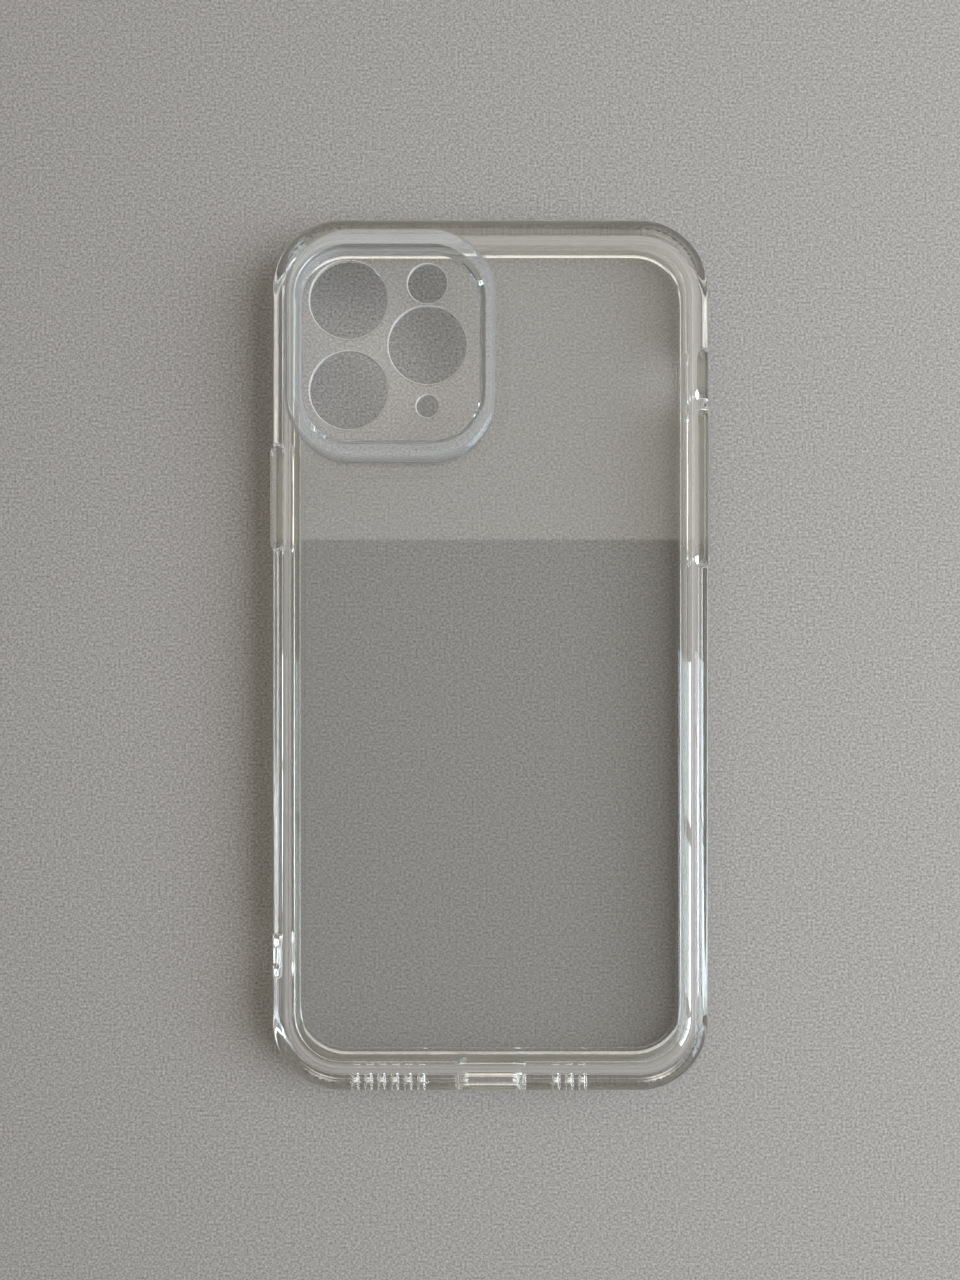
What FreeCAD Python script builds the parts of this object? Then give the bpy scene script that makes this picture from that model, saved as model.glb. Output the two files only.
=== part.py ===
import FreeCAD, Part
import math
import os
import Sketcher

# A clear case for a slim phone with three rear cameras. It lies open side down: +Z points out of
# its back, +Y to its camera end, and +X to the side with the volume bar. The origin is the centre
# of its outline, on the plane of the front lip that it rests on. Lengths are in millimetres.
SIZES = {
    # the phone that fills the case
    "phone_width": 71.4,
    "phone_length": 144.0,
    "phone_thickness": 8.1,
    "phone_edge_radius": 4.0,
    "fit_gap": 0.1,
    # the soft frame
    "wall_thickness": 1.5,
    "end_wall_thickness": 2.2,
    "corner_radius": 12.0,
    "back_edge_radius": 3.0,
    "front_edge_radius": 1.6,
    "lip_height": 0.8,
    "lip_overlap": 1.3,
    "lip_edge_radius": 0.6,
    "ledge_thickness": 0.4,
    "ledge_step": 0.1,
    "ledge_inset_side": 5.85,
    "ledge_inset_top": 6.4,
    "ledge_inset_bottom": 7.8,
    "ledge_corner_radius": 7.0,
    "collar_width": 2.4,
    # the hard back sheet
    "rim_width": 3.2,
    "panel_thickness": 1.5,
    "bond_line": 0.03,
    "joint_step": 0.1,
    # the raised guard round the cameras
    "guard_centre_across": -16.8,
    "guard_centre_along": 51.8,
    "guard_width": 35.2,
    "guard_length": 38.8,
    "guard_corner_radius": 11.0,
    "guard_height": 2.2,
    "guard_edge_radius": 0.9,
    "guard_flange": 0.9,
    "window_width": 31.9,
    "window_length": 33.3,
    "window_corner_radius": 9.2,
    "window_taper": 26.0,
    "window_depth": 1.95,
    # the thin plate with the lens holes
    "cover_width": 31.4,
    "cover_length": 32.8,
    "cover_corner_radius": 8.9,
    "cover_thickness": 0.75,
    "lens_radius": 6.55,
    "lens_outer_column": -23.9,
    "lens_inner_column": -10.65,
    "lens_row": 52.2,
    "lens_half_spacing": 7.6,
    "flash_radius": 3.3,
    "small_hole_radius": 1.85,
    "small_hole_offset": 10.3,
    "hole_edge_radius": 0.2,
    # openings in the bottom wall
    "side_hole_height": 4.85,
    "port_width": 12.4,
    "port_radius": 2.8,
    "grille_recess_depth": 0.35,
    "grille_margin": 1.25,
    "grille_hole_radius": 0.75,
    "grille_pitch": 2.28,
    "speaker_first": -23.3,
    "speaker_count": 6,
    "microphone_first": 11.3,
    "microphone_count": 3,
    # openings in the side walls
    "mute_centre": 48.3,
    "mute_length": 9.6,
    "mute_radius": 2.4,
    "strap_centre": -52.0,
    "strap_hole_spacing": 5.2,
    "strap_hole_length": 2.7,
    "strap_hole_radius": 0.9,
    "strap_groove_depth": 0.7,
    # the buttons
    "button_radius": 1.6,
    "button_standout": 0.8,
    "button_thickness": 2.0,
    "button_edge_radius": 0.5,
    "web_width": 0.6,
    "web_thickness": 0.4,
    "web_rise": 1.0,
    "power_centre": 27.2,
    "power_length": 17.9,
    "volume_centre": 28.95,
    "volume_length": 26.7,
    "nub_height": 0.25,
    "nub_length": 6.0,
    "nub_radius": 0.9,
    "volume_nub_spacing": 14.5,
}

HALF_WIDTH = "(Sizes.phone_width / 2 + Sizes.fit_gap + Sizes.wall_thickness)"
HALF_LENGTH = "(Sizes.phone_length / 2 + Sizes.fit_gap + Sizes.end_wall_thickness)"
CAVITY_TOP = "(Sizes.lip_height + Sizes.phone_thickness)"
SEAT = f"({CAVITY_TOP} + Sizes.ledge_thickness)"
PANEL_BOTTOM = f"({CAVITY_TOP} + Sizes.ledge_step)"
PANEL_TOP = f"({PANEL_BOTTOM} + Sizes.panel_thickness)"
GUARD_TOP = f"({PANEL_TOP} + Sizes.bond_line + Sizes.guard_height)"
COVER_TOP = f"({GUARD_TOP} - Sizes.window_depth - Sizes.bond_line + Sizes.joint_step)"
OUTSIDE = 2.0  # how far outside a wall the sketch of a cut through it lies

doc = FreeCAD.newDocument("clear_phone_case")
sheet = doc.addObject("Spreadsheet::Sheet", "Sizes")
for row, (alias, value) in enumerate(SIZES.items(), start=1):
    sheet.set(f"A{row}", alias.replace("_", " "))
    sheet.set(f"B{row}", str(value))
    sheet.setAlias(f"B{row}", alias)
doc.recompute()


def new_body(label):
    """An empty body whose label is its node's name."""
    body = doc.addObject("PartDesign::Body", label)
    body.Label = label
    body.Placement = FreeCAD.Placement()
    return body


def new_sketch(body, name, role, offset="0"):
    """A sketch on one of the body's origin planes, moved along that plane's normal."""
    sketch = body.newObject("Sketcher::SketchObject", name)
    plane = next(o for o in body.Origin.OriginFeatures if o.Role == role)
    sketch.AttachmentSupport = [(plane, "")]
    sketch.MapMode = "FlatFace"
    sketch.setExpression("AttachmentOffset.Base.z", offset)
    return sketch


def bind(sketch, kind, references, name, expression):
    """Adds a dimension to a sketch and ties it to the sheet."""
    value = sketch.evalExpression(expression)
    index = sketch.addConstraint(Sketcher.Constraint(kind, *references, float(value)))
    sketch.renameConstraint(index, name)
    sketch.setExpression(f"Constraints.{name}", expression)


def point(x, y):
    return FreeCAD.Vector(x, y, 0)


def rounded_rectangle(sketch, left, right, bottom, top, radius, tag=""):
    """Four sides joined by four equal tangent arcs."""
    x0, x1, y0, y1, r = (float(sketch.evalExpression(e)) for e in (left, right, bottom, top, radius))
    quarter = math.pi / 2
    sides = [
        ((x0 + r, y0), (x1 - r, y0)),
        ((x1, y0 + r), (x1, y1 - r)),
        ((x1 - r, y1), (x0 + r, y1)),
        ((x0, y1 - r), (x0, y0 + r)),
    ]
    centres = [(x1 - r, y0 + r), (x1 - r, y1 - r), (x0 + r, y1 - r), (x0 + r, y0 + r)]
    lines, arcs = [], []
    for number, (side, centre) in enumerate(zip(sides, centres)):
        lines.append(sketch.addGeometry(Part.LineSegment(point(*side[0]), point(*side[1]))))
        circle = Part.Circle(point(*centre), FreeCAD.Vector(0, 0, 1), r)
        start = (number - 1) * quarter
        arcs.append(sketch.addGeometry(Part.ArcOfCircle(circle, start, start + quarter)))
    for number in range(4):
        sketch.addConstraint(Sketcher.Constraint("Tangent", lines[number], 2, arcs[number], 1))
        sketch.addConstraint(Sketcher.Constraint("Tangent", arcs[number], 2, lines[(number + 1) % 4], 1))
    sketch.addConstraint(Sketcher.Constraint("Horizontal", lines[0]))
    sketch.addConstraint(Sketcher.Constraint("Vertical", lines[1]))
    sketch.addConstraint(Sketcher.Constraint("Horizontal", lines[2]))
    sketch.addConstraint(Sketcher.Constraint("Vertical", lines[3]))
    for arc in arcs[1:]:
        sketch.addConstraint(Sketcher.Constraint("Equal", arcs[0], arc))
    bind(sketch, "Radius", (arcs[0],), f"radius{tag}", radius)
    bind(sketch, "DistanceX", (-1, 1, lines[3], 1), f"left{tag}", left)
    bind(sketch, "DistanceX", (-1, 1, lines[1], 1), f"right{tag}", right)
    bind(sketch, "DistanceY", (-1, 1, lines[0], 1), f"bottom{tag}", bottom)
    bind(sketch, "DistanceY", (-1, 1, lines[2], 1), f"top{tag}", top)


def centred_rectangle(sketch, half_x, half_y, radius, centre_x="0", centre_y="0", tag=""):
    """A rounded rectangle given by its centre and half sizes."""
    rounded_rectangle(
        sketch,
        f"{centre_x} - ({half_x})",
        f"{centre_x} + ({half_x})",
        f"{centre_y} - ({half_y})",
        f"{centre_y} + ({half_y})",
        radius,
        tag,
    )


def stadium(sketch, centre_x, centre_y, length, radius, tag=""):
    """A slot along the sketch's X: two half circles joined by two lines."""
    x, y, span, r = (float(sketch.evalExpression(e)) for e in (centre_x, centre_y, length, radius))
    half, turn = span / 2 - r, math.pi / 2
    low = sketch.addGeometry(Part.LineSegment(point(x - half, y - r), point(x + half, y - r)))
    right_circle = Part.Circle(point(x + half, y), FreeCAD.Vector(0, 0, 1), r)
    right = sketch.addGeometry(Part.ArcOfCircle(right_circle, -turn, turn))
    high = sketch.addGeometry(Part.LineSegment(point(x + half, y + r), point(x - half, y + r)))
    left_circle = Part.Circle(point(x - half, y), FreeCAD.Vector(0, 0, 1), r)
    left = sketch.addGeometry(Part.ArcOfCircle(left_circle, turn, 3 * turn))
    loop = [low, right, high, left]
    for number in range(4):
        pair = (loop[number], 2, loop[(number + 1) % 4], 1)
        sketch.addConstraint(Sketcher.Constraint("Tangent", *pair))
    sketch.addConstraint(Sketcher.Constraint("Horizontal", low))
    sketch.addConstraint(Sketcher.Constraint("Equal", right, left))
    reach = f"(({length}) / 2 - ({radius}))"
    bind(sketch, "Radius", (right,), f"radius{tag}", radius)
    bind(sketch, "DistanceX", (-1, 1, left, 3), f"left{tag}", f"{centre_x} - {reach}")
    bind(sketch, "DistanceX", (-1, 1, right, 3), f"right{tag}", f"{centre_x} + {reach}")
    bind(sketch, "DistanceY", (-1, 1, right, 3), f"height{tag}", centre_y)


def circle(sketch, centre_x, centre_y, radius, tag=""):
    x, y, r = (float(sketch.evalExpression(e)) for e in (centre_x, centre_y, radius))
    shape = Part.Circle(point(x, y), FreeCAD.Vector(0, 0, 1), r)
    index = sketch.addGeometry(shape)
    bind(sketch, "Radius", (index,), f"radius{tag}", radius)
    bind(sketch, "DistanceX", (-1, 1, index, 3), f"across{tag}", centre_x)
    bind(sketch, "DistanceY", (-1, 1, index, 3), f"along{tag}", centre_y)


def extrude(body, kind, sketch, length, reverse=False, taper=None):
    """A pad or a pocket. It stops the build if a pad adds nothing or a pocket cuts nothing."""
    before = body.Shape.Volume if body.Tip else 0.0
    feature = body.newObject(f"PartDesign::{kind}", f"{sketch.Name}_{kind}")
    feature.Profile = sketch
    feature.Type = "Length"
    feature.setExpression("Length", length)
    feature.Reversed = reverse
    if taper:
        feature.setExpression("TaperAngle", taper)
    doc.recompute()
    change = body.Shape.Volume - before
    if (change <= 0) if kind == "Pad" else (change >= 0):
        raise ValueError(f"{feature.Name} changes the volume by {change}")
    return feature


def edges_where(shape, test):
    """The names of the edges whose box passes a test."""
    return [f"Edge{n}" for n, edge in enumerate(shape.Edges, start=1) if test(edge.BoundBox)]


def flat_at(level):
    """A test for edges that lie in the plane z = level."""
    return lambda box: abs(box.ZMin - level) < 1e-4 and abs(box.ZMax - level) < 1e-4


def fillet(body, name, radius, test):
    """Rounds the edges of the body's present shape that pass a test."""
    base = body.Tip
    feature = body.newObject("PartDesign::Fillet", name)
    names = edges_where(base.Shape, test)
    if not names:
        raise ValueError(f"{name} finds no edge to round")
    feature.Base = (base, names)
    feature.setExpression("Radius", radius)
    doc.recompute()
    return feature


def size_of(expression):
    """What an expression of the sheet comes to."""
    return float(sheet.evalExpression(expression))


def phone_space():
    """The room that the phone fills: a plate with rounded corners and rounded long edges."""
    body = new_body("phone_space")
    outline = new_sketch(body, "PhoneOutline", "XY_Plane", "Sizes.lip_height")
    centred_rectangle(
        outline,
        "Sizes.phone_width / 2 + Sizes.fit_gap",
        "Sizes.phone_length / 2 + Sizes.fit_gap",
        "Sizes.corner_radius - Sizes.wall_thickness - Sizes.fit_gap",
    )
    extrude(body, "Pad", outline, "Sizes.phone_thickness")
    low, high = size_of("Sizes.lip_height"), size_of(CAVITY_TOP)
    fillet(
        body,
        "PhoneEdges",
        "Sizes.phone_edge_radius",
        lambda box: flat_at(low)(box) or flat_at(high)(box),
    )
    return body


def inset_outline(sketch, inset):
    """The case's outline, moved inwards."""
    centred_rectangle(
        sketch,
        f"{HALF_WIDTH} - ({inset})",
        f"{HALF_LENGTH} - ({inset})",
        f"Sizes.corner_radius - ({inset})",
    )


def wall_sketch(body, name, side):
    """A sketch just outside one wall: its X runs along the wall and its Y is the height."""
    if side == "bottom":
        return new_sketch(body, name, "XZ_Plane", f"{HALF_LENGTH} + {OUTSIDE}")
    sign = "" if side == "volume" else "-"
    return new_sketch(body, name, "YZ_Plane", f"{sign}({HALF_WIDTH} + {OUTSIDE})")


def cut_wall(body, sketch, depth, side):
    """Cuts from outside a wall into it, to a depth from its outer face."""
    return extrude(body, "Pocket", sketch, f"{OUTSIDE} + ({depth})", reverse=side == "power")


THROUGH_WALL = "Sizes.wall_thickness + Sizes.fit_gap + 2 * Sizes.lip_overlap"


def grille(body, name, first, count):
    """A row of round holes through the bottom wall, in a shallow recess."""
    span = f"(Sizes.{count} - 1) * Sizes.grille_pitch"
    recess = wall_sketch(body, f"{name}Recess", "bottom")
    stadium(
        recess,
        f"Sizes.{first} + {span} / 2",
        "Sizes.side_hole_height",
        f"{span} + 2 * Sizes.grille_margin",
        "Sizes.grille_margin",
    )
    cut_wall(body, recess, "Sizes.grille_recess_depth", "bottom")
    hole = wall_sketch(body, f"{name}Hole", "bottom")
    circle(hole, f"Sizes.{first}", "Sizes.side_hole_height", "Sizes.grille_hole_radius")
    cut = cut_wall(body, hole, THROUGH_WALL, "bottom")
    row = body.newObject("PartDesign::LinearPattern", f"{name}Row")
    row.Originals = [cut]
    row.Direction = (hole, ["H_Axis"])
    row.setExpression("Length", span)
    row.setExpression("Occurrences", f"Sizes.{count}")
    body.Tip = row
    doc.recompute()


def camera_outline(sketch, width, length, radius):
    """A rounded rectangle round the camera cluster."""
    centred_rectangle(
        sketch,
        f"({width}) / 2",
        f"({length}) / 2",
        radius,
        "Sizes.guard_centre_across",
        "Sizes.guard_centre_along",
    )


def collar_outline(sketch, margin="0"):
    """The frame's collar under the guard: wider than the guard towards the middle of the case."""
    rounded_rectangle(
        sketch,
        f"Sizes.guard_centre_across - Sizes.guard_width / 2 - ({margin})",
        f"Sizes.guard_centre_across + Sizes.guard_width / 2 + Sizes.collar_width + ({margin})",
        f"Sizes.guard_centre_along - Sizes.guard_length / 2 - Sizes.collar_width - ({margin})",
        f"Sizes.guard_centre_along + Sizes.guard_length / 2 + ({margin})",
        f"Sizes.guard_corner_radius + Sizes.collar_width + ({margin})",
    )


def ledge_outline(sketch, margin="0"):
    """The inner edge of the frame's ledge, moved inwards by a margin."""
    rounded_rectangle(
        sketch,
        f"Sizes.ledge_inset_side + ({margin}) - {HALF_WIDTH}",
        f"{HALF_WIDTH} - Sizes.ledge_inset_side - ({margin})",
        f"Sizes.ledge_inset_bottom + ({margin}) - {HALF_LENGTH}",
        f"{HALF_LENGTH} - Sizes.ledge_inset_top - ({margin})",
        f"Sizes.ledge_corner_radius - ({margin})",
        "_ledge",
    )


def flange_recess(body):
    """Lets the guard's flange into the back face by the joint step."""
    flange = new_sketch(body, "FlangeRecess", "XY_Plane", PANEL_TOP)
    camera_outline(
        flange,
        "Sizes.guard_width + 2 * Sizes.bond_line",
        "Sizes.guard_length + 2 * Sizes.bond_line",
        "Sizes.guard_corner_radius + Sizes.bond_line",
    )
    extrude(body, "Pocket", flange, "Sizes.joint_step")


def bumper_frame():
    """The soft clear frame: walls that wrap the phone's edges, a front lip and a ledge for the back sheet."""
    space = phone_space()
    body = new_body("bumper_frame")
    block = new_sketch(body, "FrameOutline", "XY_Plane")
    inset_outline(block, "0")
    extrude(body, "Pad", block, PANEL_TOP)
    fillet(body, "BackEdge", "Sizes.back_edge_radius", flat_at(size_of(PANEL_TOP)))
    fillet(body, "FrontEdge", "Sizes.front_edge_radius", flat_at(0.0))
    cavity = body.newObject("PartDesign::Boolean", "Cavity")
    cavity.Type = "Cut"
    cavity.setObjects([space])
    body.Tip = cavity
    doc.recompute()

    opening = new_sketch(body, "FrontOpening", "XY_Plane")
    centred_rectangle(
        opening,
        "Sizes.phone_width / 2 - Sizes.lip_overlap",
        "Sizes.phone_length / 2 - Sizes.lip_overlap",
        "Sizes.corner_radius - Sizes.wall_thickness - Sizes.fit_gap - Sizes.lip_overlap",
    )
    extrude(body, "Pocket", opening, "Sizes.phone_thickness / 2", reverse=True)
    across, along = size_of("Sizes.phone_width / 2"), size_of("Sizes.phone_length / 2")
    fillet(
        body,
        "LipEdge",
        "Sizes.lip_edge_radius",
        lambda box: flat_at(0.0)(box) and -across < box.XMin and box.XMax < across
        and -along < box.YMin and box.YMax < along,
    )
    seat = new_sketch(body, "PanelSeat", "XY_Plane", PANEL_TOP)
    inset_outline(seat, "Sizes.rim_width")
    extrude(body, "Pocket", seat, f"{PANEL_TOP} - {SEAT}")
    ledge = new_sketch(body, "LedgeOpening", "XY_Plane", PANEL_TOP)
    ledge_outline(ledge)
    reach = f"{PANEL_TOP} - {CAVITY_TOP} + Sizes.lip_height"
    extrude(body, "Pocket", ledge, reach)
    collar = new_sketch(body, "Collar", "XY_Plane", CAVITY_TOP)
    collar_outline(collar)
    extrude(body, "Pad", collar, f"{SEAT} - {CAVITY_TOP}")
    flange_recess(body)
    relief = new_sketch(body, "CameraRelief", "XY_Plane", PANEL_TOP)
    camera_outline(relief, "Sizes.cover_width", "Sizes.cover_length", "Sizes.cover_corner_radius")
    extrude(body, "Pocket", relief, reach)

    port = wall_sketch(body, "ChargingPort", "bottom")
    stadium(port, "0", "Sizes.side_hole_height", "Sizes.port_width", "Sizes.port_radius")
    cut_wall(body, port, THROUGH_WALL, "bottom")
    grille(body, "Speaker", "speaker_first", "speaker_count")
    grille(body, "Microphone", "microphone_first", "microphone_count")

    mute = wall_sketch(body, "MuteSlot", "volume")
    stadium(mute, "Sizes.mute_centre", "Sizes.side_hole_height", "Sizes.mute_length", "Sizes.mute_radius")
    cut_wall(body, mute, THROUGH_WALL, "volume")
    for side in ("power", "volume"):
        aperture = wall_sketch(body, f"{side.title()}Aperture", side)
        button_outline(aperture, side, "Sizes.web_width")
        cut_wall(body, aperture, THROUGH_WALL, side)

    groove = wall_sketch(body, "StrapGroove", "power")
    groove_length = "Sizes.strap_hole_spacing + Sizes.strap_hole_length"
    stadium(groove, "Sizes.strap_centre", "Sizes.side_hole_height", groove_length, "Sizes.strap_hole_radius")
    cut_wall(body, groove, "Sizes.strap_groove_depth", "power")
    holes = wall_sketch(body, "StrapHoles", "power")
    for tag, sign in (("_low", "-"), ("_high", "+")):
        stadium(
            holes,
            f"Sizes.strap_centre {sign} Sizes.strap_hole_spacing / 2",
            "Sizes.side_hole_height",
            "Sizes.strap_hole_length",
            "Sizes.strap_hole_radius",
            tag,
        )
    cut_wall(body, holes, THROUGH_WALL, "power")
    return body


def back_panel():
    """The hard clear sheet, with a window for the foot of the camera guard.

    It is rebated over the frame's ledge and collar, which so come almost flush with its inner face,
    and under the guard's flange.
    """
    body = new_body("back_panel")
    block = new_sketch(body, "PanelOutline", "XY_Plane", PANEL_BOTTOM)
    inset_outline(block, "Sizes.rim_width + Sizes.bond_line")
    extrude(body, "Pad", block, "Sizes.panel_thickness")
    rebate = f"{SEAT} + Sizes.bond_line - {PANEL_BOTTOM}"
    strip = new_sketch(body, "LedgeStrip", "XY_Plane", PANEL_BOTTOM)
    inset_outline(strip, f"-{OUTSIDE}")
    ledge_outline(strip, "Sizes.bond_line")
    extrude(body, "Pocket", strip, rebate, reverse=True)
    collar = new_sketch(body, "CollarStrip", "XY_Plane", PANEL_BOTTOM)
    collar_outline(collar, "Sizes.bond_line")
    extrude(body, "Pocket", collar, rebate, reverse=True)
    flange_recess(body)
    window = new_sketch(body, "PanelWindow", "XY_Plane", PANEL_TOP)
    camera_outline(
        window,
        "Sizes.guard_width - 2 * Sizes.guard_flange + 2 * Sizes.bond_line",
        "Sizes.guard_length - 2 * Sizes.guard_flange + 2 * Sizes.bond_line",
        "Sizes.guard_corner_radius - Sizes.guard_flange + Sizes.bond_line",
    )
    extrude(body, "Pocket", window, "2 * Sizes.panel_thickness")
    return body


def camera_guard():
    """The raised ring: a foot in the panel's window, a flange on the panel and a sloping inner wall."""
    body = new_body("camera_guard")
    foot = new_sketch(body, "GuardFoot", "XY_Plane", f"{SEAT} + Sizes.bond_line")
    camera_outline(
        foot,
        "Sizes.guard_width - 2 * Sizes.guard_flange",
        "Sizes.guard_length - 2 * Sizes.guard_flange",
        "Sizes.guard_corner_radius - Sizes.guard_flange",
    )
    extrude(body, "Pad", foot, f"{PANEL_TOP} - {SEAT}")
    flange_bottom = f"{PANEL_TOP} + Sizes.bond_line - Sizes.joint_step"
    flange = new_sketch(body, "GuardFlange", "XY_Plane", flange_bottom)
    camera_outline(flange, "Sizes.guard_width", "Sizes.guard_length", "Sizes.guard_corner_radius")
    extrude(body, "Pad", flange, "Sizes.guard_height + Sizes.joint_step")
    fillet(body, "GuardEdge", "Sizes.guard_edge_radius", flat_at(size_of(GUARD_TOP)))
    window = new_sketch(body, "GuardWindow", "XY_Plane", GUARD_TOP)
    camera_outline(window, "Sizes.window_width", "Sizes.window_length", "Sizes.window_corner_radius")
    extrude(body, "Pocket", window, "Sizes.window_depth", taper="-Sizes.window_taper")
    rebate = new_sketch(body, "CoverRebate", "XY_Plane", CAVITY_TOP)
    camera_outline(
        rebate,
        "Sizes.cover_width + 2 * Sizes.bond_line",
        "Sizes.cover_length + 2 * Sizes.bond_line",
        "Sizes.cover_corner_radius + Sizes.bond_line",
    )
    extrude(
        body,
        "Pocket",
        rebate,
        f"{GUARD_TOP} - Sizes.window_depth - {CAVITY_TOP}",
        reverse=True,
    )
    return body


def edge_is_inside(box):
    """Whether an edge's box lies well inside the lens cover's outline."""
    reach = size_of("Sizes.cover_width / 2 - 1")
    middle = size_of("Sizes.guard_centre_across")
    return middle - reach < box.XMin and box.XMax < middle + reach


def lens_cover():
    """The thin plate inside the guard, with holes for three lenses, the flash and a microphone.

    Its rim is bonded under the guard's inner wall, and its middle rises inside that by the joint step.
    """
    body = new_body("lens_cover")
    plate = new_sketch(body, "CoverOutline", "XY_Plane", f"{COVER_TOP} - Sizes.cover_thickness")
    camera_outline(plate, "Sizes.cover_width", "Sizes.cover_length", "Sizes.cover_corner_radius")
    extrude(body, "Pad", plate, "Sizes.cover_thickness - Sizes.joint_step")
    narrowing = "(Sizes.window_depth * tan(Sizes.window_taper * 1 deg) + Sizes.bond_line)"
    middle = new_sketch(body, "CoverMiddle", "XY_Plane", f"{COVER_TOP} - Sizes.cover_thickness")
    camera_outline(
        middle,
        f"Sizes.window_width - 2 * {narrowing}",
        f"Sizes.window_length - 2 * {narrowing}",
        f"Sizes.window_corner_radius - {narrowing}",
    )
    extrude(body, "Pad", middle, "Sizes.cover_thickness")
    holes = new_sketch(body, "CoverHoles", "XY_Plane", COVER_TOP)
    outer, inner, row = "Sizes.lens_outer_column", "Sizes.lens_inner_column", "Sizes.lens_row"
    circle(holes, outer, f"{row} + Sizes.lens_half_spacing", "Sizes.lens_radius", "_upper")
    circle(holes, outer, f"{row} - Sizes.lens_half_spacing", "Sizes.lens_radius", "_lower")
    circle(holes, inner, row, "Sizes.lens_radius", "_middle")
    circle(holes, inner, f"{row} + Sizes.small_hole_offset", "Sizes.flash_radius", "_flash")
    circle(holes, inner, f"{row} - Sizes.small_hole_offset", "Sizes.small_hole_radius", "_small")
    extrude(body, "Pocket", holes, "2 * Sizes.cover_thickness")
    level = flat_at(size_of(COVER_TOP))
    longest_hole = 2 * size_of("Sizes.lens_radius") + 0.1
    fillet(
        body,
        "HoleEdges",
        "Sizes.hole_edge_radius",
        lambda box: level(box) and box.XLength < longest_hole and abs(box.XLength - box.YLength) < 0.01
        and edge_is_inside(box),
    )
    return body


def button_outline(sketch, side, margin="0"):
    """A button's stadium outline, grown by a margin."""
    stadium(
        sketch,
        f"Sizes.{side}_centre",
        "Sizes.side_hole_height",
        f"Sizes.{side}_length + 2 * ({margin})",
        f"Sizes.button_radius + ({margin})",
    )


def side_plane(side, depth):
    """How far along X the plane lies that is a depth inside the wall's outer face."""
    sign = "" if side == "volume" else "-"
    return f"{sign}({HALF_WIDTH} - ({depth}))"


def button(label, side, nub_centres):
    """A raised pad, with a nub on its inner face for each key that it presses."""
    body = new_body(label)
    inwards = side == "volume"
    pad = new_sketch(body, f"{label}_pad", "YZ_Plane", side_plane(side, "-Sizes.button_standout"))
    button_outline(pad, side)
    extrude(body, "Pad", pad, "Sizes.button_thickness", reverse=inwards)
    face = size_of(side_plane(side, "-Sizes.button_standout"))
    fillet(
        body,
        f"{label}_edge",
        "Sizes.button_edge_radius",
        lambda box: abs(box.XMin - face) < 1e-4 and abs(box.XMax - face) < 1e-4,
    )
    inner = side_plane(side, "Sizes.button_thickness - Sizes.button_standout - Sizes.nub_height")
    nubs = new_sketch(body, f"{label}_nubs", "YZ_Plane", inner)
    for number, centre in enumerate(nub_centres):
        stadium(
            nubs,
            centre,
            "Sizes.side_hole_height",
            "Sizes.nub_length",
            "Sizes.nub_radius",
            f"_{number}",
        )
    extrude(body, "Pad", nubs, "2 * Sizes.nub_height", reverse=inwards)
    return body


def loft(body, kind, name, outlines):
    """A loft between two outlines round a button: each is (depth, margin)."""
    side = name.split("_")[0]
    sketches = []
    for number, (depth, margin) in enumerate(outlines):
        sketch = new_sketch(body, f"{name}_{number}", "YZ_Plane", side_plane(side, depth))
        button_outline(sketch, side, margin)
        sketches.append(sketch)
    doc.recompute()
    feature = body.newObject(f"PartDesign::{kind}Loft", f"{name}_loft")
    feature.Profile = sketches[0]
    feature.Sections = [sketches[1]]
    doc.recompute()
    return feature


def button_web(label, side):
    """The thin funnel-shaped membrane between a button and the inner edge of its aperture."""
    body = new_body(label)
    clear = "Sizes.bond_line"
    wide = f"Sizes.web_width - {clear}"
    loft(
        body,
        "Additive",
        f"{side}_outside",
        [("Sizes.wall_thickness", wide), ("Sizes.wall_thickness - Sizes.web_rise", clear)],
    )
    loft(
        body,
        "Subtractive",
        f"{side}_inside",
        [
            ("Sizes.wall_thickness + Sizes.web_thickness", wide),
            ("Sizes.wall_thickness + Sizes.web_thickness - Sizes.web_rise", clear),
        ],
    )
    hole = new_sketch(body, f"{side}_web_hole", "YZ_Plane", side_plane(side, "-Sizes.button_standout"))
    button_outline(hole, side, clear)
    extrude(body, "Pocket", hole, "2 * Sizes.button_thickness", reverse=side == "power")
    return body


power_nubs = ["Sizes.power_centre"]
volume_nubs = [f"Sizes.volume_centre {sign} Sizes.volume_nub_spacing / 2" for sign in ("-", "+")]
nodes = [
    bumper_frame(),
    back_panel(),
    camera_guard(),
    lens_cover(),
    button("power_button", "power", power_nubs),
    button_web("power_button_web", "power"),
    button("volume_rocker", "volume", volume_nubs),
    button_web("volume_rocker_web", "volume"),
]

doc.recompute()
for item in doc.Objects:
    if {"Invalid", "Error"} & set(item.State):
        raise ValueError(f"{item.Name} failed: {item.State}")
for node in nodes:
    if node.Shape.isNull() or not node.Shape.isValid() or len(node.Shape.Solids) != 1:
        raise ValueError(f"{node.Label} isn't one valid solid")

os.makedirs("parts", exist_ok=True)
for node in nodes:
    node.Shape.exportStep(f"parts/{node.Label}.step")
    box = node.Shape.optimalBoundingBox()
    print(
        f"{node.Label}: {node.Shape.Volume:.1f} mm3, "
        f"X {box.XMin:.2f}..{box.XMax:.2f}, Y {box.YMin:.2f}..{box.YMax:.2f}, Z {box.ZMin:.2f}..{box.ZMax:.2f}"
    )
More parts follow.
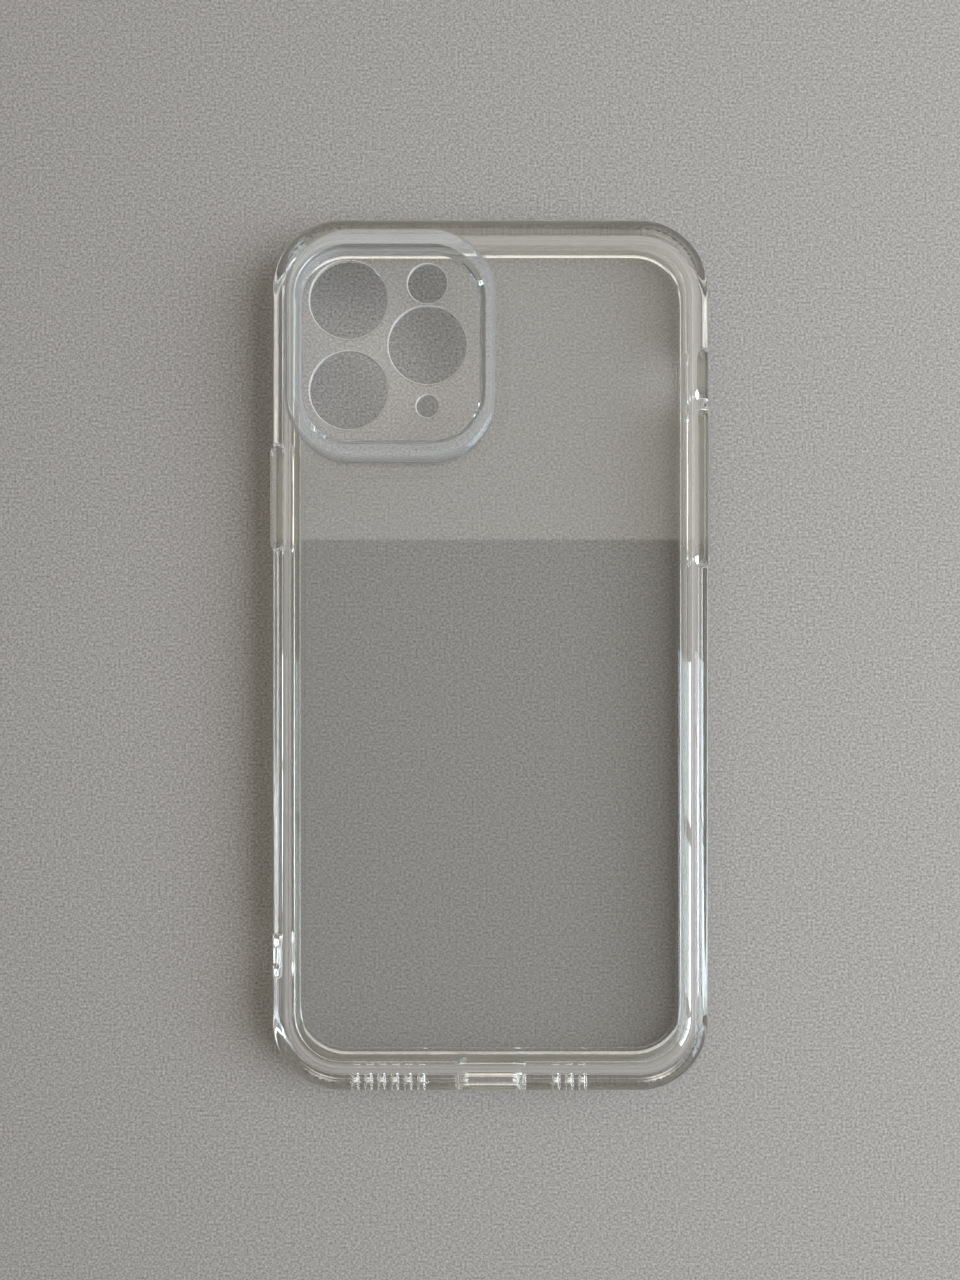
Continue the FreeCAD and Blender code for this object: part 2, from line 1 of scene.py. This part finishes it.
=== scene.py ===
import bpy
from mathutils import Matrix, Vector


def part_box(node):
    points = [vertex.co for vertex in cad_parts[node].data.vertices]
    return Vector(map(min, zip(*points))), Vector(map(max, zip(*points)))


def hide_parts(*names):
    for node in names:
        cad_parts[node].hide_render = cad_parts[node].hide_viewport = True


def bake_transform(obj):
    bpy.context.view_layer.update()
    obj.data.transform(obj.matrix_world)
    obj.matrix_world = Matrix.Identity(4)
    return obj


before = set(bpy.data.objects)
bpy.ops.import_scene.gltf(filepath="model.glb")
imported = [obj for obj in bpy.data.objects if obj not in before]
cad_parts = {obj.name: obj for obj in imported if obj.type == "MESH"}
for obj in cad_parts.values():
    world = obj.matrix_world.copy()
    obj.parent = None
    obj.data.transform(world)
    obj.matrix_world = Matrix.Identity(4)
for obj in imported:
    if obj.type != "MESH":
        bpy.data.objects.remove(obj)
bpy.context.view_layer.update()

MM = 0.001

# ---------------------------------------------------------------- materials

CLEAR_IOR = 1.49
FLAT_ENOUGH = 0.5  # the upward part of a face's normal from which the face counts as flat
SCUFFS_PER_METRE = 900
FILM_SPOTS_PER_METRE = 300
SMOOTH = (0.0, 0.06)  # roughness between the scuffs and in them
MATT = (0.3, 0.45)


def new_material(name):
    """A material with one Principled shader for its surface."""
    material = bpy.data.materials.new(name)
    material.use_nodes = True
    return material, material.node_tree, material.node_tree.nodes["Principled BSDF"]


def noise(tree, scale, detail):
    """Noise that stays with the piece, in cells of 1 / scale metres."""
    place = tree.nodes.new("ShaderNodeTexCoord")
    texture = tree.nodes.new("ShaderNodeTexNoise")
    texture.inputs["Scale"].default_value = scale
    texture.inputs["Detail"].default_value = detail
    tree.links.new(place.outputs["Object"], texture.inputs["Vector"])
    return texture


def colour_ramp(tree, source, first, last, start=0.0, end=1.0):
    """Colours that run from first to last as the source runs from start to end."""
    ramp = tree.nodes.new("ShaderNodeValToRGB")
    low, high = ramp.color_ramp.elements
    low.color = (*first, 1)
    high.color = (*last, 1)
    low.position = start
    high.position = end
    tree.links.new(source, ramp.inputs["Fac"])
    return ramp.outputs["Color"]


def let_lamps_through(tree, shader, upright_tint, flat_tint):
    """Rays that look for a lamp pass straight through, tinted, so that a clear piece casts a pale shadow.

    Upright walls hold back more of the light than flat faces, because they bend slanting light away.
    """
    geometry = tree.nodes.new("ShaderNodeNewGeometry")
    axes = tree.nodes.new("ShaderNodeSeparateXYZ")
    slope = tree.nodes.new("ShaderNodeMath")
    slope.operation = "ABSOLUTE"
    tree.links.new(geometry.outputs["Normal"], axes.inputs["Vector"])
    tree.links.new(axes.outputs["Z"], slope.inputs[0])
    tint = colour_ramp(tree, slope.outputs[0], upright_tint, flat_tint, end=FLAT_ENOUGH)
    through = tree.nodes.new("ShaderNodeBsdfTransparent")
    tree.links.new(tint, through.inputs["Color"])

    path = tree.nodes.new("ShaderNodeLightPath")
    mix = tree.nodes.new("ShaderNodeMixShader")
    tree.links.new(path.outputs["Is Shadow Ray"], mix.inputs[0])
    tree.links.new(shader.outputs[0], mix.inputs[1])
    tree.links.new(through.outputs[0], mix.inputs[2])
    tree.links.new(mix.outputs[0], tree.nodes["Material Output"].inputs["Surface"])


def clear_plastic(name, tint, ripple, shade, milk=0.0, roughness=SMOOTH):
    """Clear moulded plastic: faint ripples from the mould, and fine scuffs that roughen it a little.

    ripple is the height and the width of a ripple. shade is what is left of a lamp's light after one
    upright face and after one flat face. milk is the share of the light that the plastic scatters.
    """
    material, tree, shader = new_material(name)
    shader.inputs["Base Color"].default_value = (*tint, 1)
    shader.inputs["Transmission Weight"].default_value = 1.0 - milk
    shader.inputs["IOR"].default_value = CLEAR_IOR

    ripple_height, ripple_width = ripple
    waves = noise(tree, 1 / ripple_width, 1.5)
    bump = tree.nodes.new("ShaderNodeBump")
    bump.inputs["Strength"].default_value = 1.0
    bump.inputs["Distance"].default_value = ripple_height
    tree.links.new(waves.outputs["Fac"], bump.inputs["Height"])
    tree.links.new(bump.outputs["Normal"], shader.inputs["Normal"])

    scuffs = noise(tree, SCUFFS_PER_METRE, 4)
    worn = tree.nodes.new("ShaderNodeMapRange")
    worn.inputs["From Min"].default_value = 0.45
    worn.inputs["From Max"].default_value = 0.8
    worn.inputs["To Min"].default_value, worn.inputs["To Max"].default_value = roughness
    tree.links.new(scuffs.outputs["Fac"], worn.inputs["Value"])
    tree.links.new(worn.outputs["Result"], shader.inputs["Roughness"])

    let_lamps_through(tree, shader, *shade)
    return material


def clear_bond(name):
    """The clear bond between two pieces: nothing bends or mirrors there, and the film is a bit uneven."""
    material, tree, shader = new_material(name)
    film = noise(tree, FILM_SPOTS_PER_METRE, 2)
    haze = colour_ramp(tree, film.outputs["Fac"], (0.975, 0.975, 0.97), (1, 1, 1))
    through = tree.nodes.new("ShaderNodeBsdfTransparent")
    tree.links.new(haze, through.inputs["Color"])
    tree.links.new(through.outputs[0], tree.nodes["Material Output"].inputs["Surface"])
    tree.nodes.remove(shader)
    return material


SHEET_TINT = (1.0, 0.998, 0.99)
SHEET_RIPPLE = (0.0006 * MM, 20 * MM)
SHEET_SHADE = (0.9, 0.89, 0.87), (0.97, 0.965, 0.95)
FRAME_TINT = (0.985, 0.98, 0.955)
FRAME_RIPPLE = (0.0002 * MM, 6 * MM)
FRAME_SHADE = (0.42, 0.4, 0.365), (0.94, 0.925, 0.89)
GUARD_TINT = (0.93, 0.97, 1.0)
GUARD_RIPPLE = (0.0006 * MM, 10 * MM)
GUARD_SHADE = (0.6, 0.61, 0.63), (0.85, 0.86, 0.88)

hard_clear = clear_plastic("hard_clear_sheet", SHEET_TINT, SHEET_RIPPLE, SHEET_SHADE)
guard_clear = clear_plastic("clear_guard", GUARD_TINT, GUARD_RIPPLE, GUARD_SHADE, milk=0.2)
soft_clear = clear_plastic("soft_clear_frame", FRAME_TINT, FRAME_RIPPLE, FRAME_SHADE)
soft_matt = clear_plastic("soft_clear_lip", FRAME_TINT, FRAME_RIPPLE, FRAME_SHADE, roughness=MATT)
cut_edge = clear_plastic("clear_cut_edge", SHEET_TINT, GUARD_RIPPLE, SHEET_SHADE, milk=0.6)
bond = clear_bond("clear_bond")

FINISHES = {
    "bumper_frame": soft_clear,
    "back_panel": hard_clear,
    "camera_guard": guard_clear,
    "lens_cover": hard_clear,
    "power_button": soft_clear,
    "power_button_web": soft_clear,
    "volume_rocker": soft_clear,
    "volume_rocker_web": soft_clear,
}
for name, finish in FINISHES.items():
    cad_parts[name].data.materials[0] = finish

# ---------------------------------------------------------------- faces with a finish of their own

STEP = 0.1 * MM  # how deep the sheet, the guard and the lens cover are let into their neighbours
LINE = 0.03 * MM  # the thickness of a bond
SHEET_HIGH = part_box("back_panel")[1].z
COVER_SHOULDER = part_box("lens_cover")[1].z - STEP
GUARD_FIRST, GUARD_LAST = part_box("camera_guard")
GUARD_LOW = GUARD_FIRST.z
GUARD_MIDDLE = (GUARD_FIRST + GUARD_LAST) / 2
GUARD_REACH = (GUARD_LAST.x - GUARD_FIRST.x) / 2
SEAT = GUARD_LOW - LINE
RECESS = SHEET_HIGH - STEP
FOOT_TOP = RECESS + LINE
LENS_HOLES_REACH = 0.83 * GUARD_REACH  # all the lens holes lie inside this, and the cover's rim outside
LIP_FLAT = 0.05 * MM  # below this lies only the flat of the front lip


def finish_faces(name, finish, test):
    """Give a finish to the faces of a piece that pass a test of their centre and normal."""
    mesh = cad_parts[name].data
    mesh.materials.append(finish)
    for face in mesh.polygons:
        if test(face.center, face.normal):
            face.material_index = len(mesh.materials) - 1


def faces_up(height):
    return lambda centre, normal: normal.z > 0.9 and abs(centre.z - height) < LINE / 3


def faces_down(height):
    return lambda centre, normal: normal.z < -0.9 and abs(centre.z - height) < LINE / 3


def upright_between(low, high, outwards_only=False):
    """A wall between two heights, and if asked only one that faces away from the guard's middle."""

    def test(centre, normal):
        if abs(normal.z) > 0.1 or not low < centre.z < high:
            return False
        return not outwards_only or (centre - GUARD_MIDDLE).xy.dot(normal.xy) > 0

    return test


def any_of(*tests):
    return lambda centre, normal: any(test(centre, normal) for test in tests)


def lens_hole_edge(centre, normal):
    away = (centre - GUARD_MIDDLE).xy
    return abs(normal.z) < 0.98 and max(abs(away.x), abs(away.y)) < LENS_HOLES_REACH


def rest_flat(centre, _normal):
    return centre.z < LIP_FLAT


# The faces that are bonded to another piece. Each bonded strip lies at a height of its own.
BONDED = {
    "bumper_frame": any_of(faces_up(SEAT), faces_up(RECESS), upright_between(SEAT, RECESS)),
    "back_panel": any_of(faces_down(GUARD_LOW), faces_up(RECESS), upright_between(GUARD_LOW, RECESS)),
    "camera_guard": any_of(
        faces_down(GUARD_LOW),
        faces_down(FOOT_TOP),
        faces_down(COVER_SHOULDER + LINE),
        upright_between(SEAT, FOOT_TOP, outwards_only=True),
    ),
    "lens_cover": faces_up(COVER_SHOULDER),
}
for name, bonded in BONDED.items():
    finish_faces(name, bond, bonded)

# The lens holes are cut, so their edges are paler. The flat that the case rests on is finely matt.
finish_faces("lens_cover", cut_edge, lens_hole_edge)
finish_faces("bumper_frame", soft_matt, rest_flat)

# ---------------------------------------------------------------- the buttons' webs


def flexible_web(node):
    """A copy of a web, which lies between the frame, at its inner edge, and its button, at its outer edge.
    The copy takes the web's place, unparented, with its placing baked into its mesh.
    """
    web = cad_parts[node].copy()
    web.data = web.data.copy()
    for key in list(web.keys()):
        del web[key]
    web.name = f"{node}_bending"
    web.parent = None
    bpy.context.scene.collection.objects.link(web)
    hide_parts(node)

    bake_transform(web)


for button in ("power_button", "volume_rocker"):
    flexible_web(f"{button}_web")

# ---------------------------------------------------------------- floor and surroundings

FLOOR_SIDE = 3.0
FLOOR_GAP = 0.1 * MM
FLOOR_DARK = (0.32, 0.301, 0.283)
FLOOR_PALE = (0.704, 0.664, 0.63)
GRAINS_PER_METRE = 2400
SKY_LOW = (0.42, 0.41, 0.39)
SKY_HIGH = (0.65, 0.63, 0.6)


def square_plane(name, side, height):
    """A flat square that faces up."""
    half = side / 2
    corners = [(-half, -half, 0), (half, -half, 0), (half, half, 0), (-half, half, 0)]
    mesh = bpy.data.meshes.new(name)
    mesh.from_pydata(corners, [], [(0, 1, 2, 3)])
    obj = bpy.data.objects.new(name, mesh)
    obj.location.z = height
    bpy.context.scene.collection.objects.link(obj)
    return obj


floor = square_plane("floor", FLOOR_SIDE, -FLOOR_GAP)
floor_mat, tree, shader = new_material("floor_mat")
grain = noise(tree, GRAINS_PER_METRE, 3)
grain_colour = colour_ramp(tree, grain.outputs["Fac"], FLOOR_DARK, FLOOR_PALE, 0.3, 0.7)
tree.links.new(grain_colour, shader.inputs["Base Color"])
shader.inputs["Roughness"].default_value = 0.9
shader.inputs["Specular IOR Level"].default_value = 0.1
floor.data.materials.append(floor_mat)

world = bpy.data.worlds.new("studio")
bpy.context.scene.world = world
world.use_nodes = True
sky = world.node_tree
direction = sky.nodes.new("ShaderNodeTexCoord")
axes = sky.nodes.new("ShaderNodeSeparateXYZ")
sky.links.new(direction.outputs["Generated"], axes.inputs["Vector"])
sky_colour = colour_ramp(sky, axes.outputs["Z"], SKY_LOW, SKY_HIGH, start=0.6)
background = sky.nodes["Background"]
sky.links.new(sky_colour, background.inputs["Color"])
background.inputs["Strength"].default_value = 0.9
world.cycles_visibility.diffuse = False

# ---------------------------------------------------------------- lamps

WINDOW_BLUE = (0.74, 0.89, 1.0)
DAY_WHITE = (0.89, 0.95, 1.0)
CEILING_CREAM = (1.0, 0.95, 0.87)
ROOM_CREAM = (1.0, 0.92, 0.82)
CASE = (0, 0, 0)
PANES = 5
PANE_FIRST = -0.15
PANE_PITCH = -0.27


def lamp(name, place, target, size, power, colour, seen):
    """A rectangular softbox that faces a point. One that is seen shows in clear and glossy pieces only.

    The others light the floor and aren't seen, so brightness and reflections are set apart.
    """
    data = bpy.data.lights.new(name, "AREA")
    data.shape = "RECTANGLE"
    data.size, data.size_y = size
    data.energy = power
    data.color = colour
    obj = bpy.data.objects.new(name, data)
    obj.location = place
    obj.rotation_euler = (Vector(target) - Vector(place)).to_track_quat("-Z", "Y").to_euler()
    obj.visible_glossy = seen
    obj.visible_transmission = seen
    obj.visible_diffuse = not seen
    bpy.context.scene.collection.objects.link(obj)


for pane in range(PANES):
    along = PANE_FIRST + PANE_PITCH * pane
    lamp(f"pane_{pane}", (1.3, along, 1.5), (0, along, 1.5), (0.24, 2.7), 11, WINDOW_BLUE, seen=True)
lamp("ceiling", (0, 1.075, 1.5), (0, 1.075, 0), (2.4, 1.8), 14, CEILING_CREAM, seen=True)
lamp("daylight", (0.62, 0.0, 0.52), CASE, (0.7, 0.7), 7.4, DAY_WHITE, seen=False)
lamp("room_light", (0, 0.9, 1.5), CASE, (2.4, 1.8), 8, ROOM_CREAM, seen=False)
lamp("fill", (-1.2, -1.2, 1.2), CASE, (1.6, 1.6), 2, ROOM_CREAM, seen=False)

# ---------------------------------------------------------------- camera

VIEW_ACROSS = -1.8 * MM
VIEW_ALONG = 2.6 * MM
VIEW_LEVEL = 8.6 * MM  # a height just below the case's back
VIEW_DISTANCE = 164 * MM  # from the lens to that level
VIEW_FIELD = 218.1 * MM  # what the picture's height takes in at that distance
SENSOR = 36.0
BOUNCES = 48  # enough for light to cross every wall and come back

camera_data = bpy.data.cameras.new("camera")
camera_data.sensor_fit = "VERTICAL"
camera_data.sensor_height = SENSOR
camera_data.sensor_width = SENSOR
camera_data.lens = SENSOR * VIEW_DISTANCE / VIEW_FIELD
camera_data.clip_start = 0.01
camera = bpy.data.objects.new("camera", camera_data)
camera.location = (VIEW_ACROSS, VIEW_ALONG, VIEW_LEVEL + VIEW_DISTANCE)
bpy.context.scene.collection.objects.link(camera)
bpy.context.scene.camera = camera

cycles = bpy.context.scene.cycles
cycles.caustics_reflective = False
cycles.caustics_refractive = False
cycles.sample_clamp_indirect = 0
cycles.max_bounces = BOUNCES
cycles.transmission_bounces = BOUNCES
cycles.glossy_bounces = BOUNCES
cycles.transparent_max_bounces = BOUNCES
bpy.context.scene.view_settings.view_transform = "Standard"
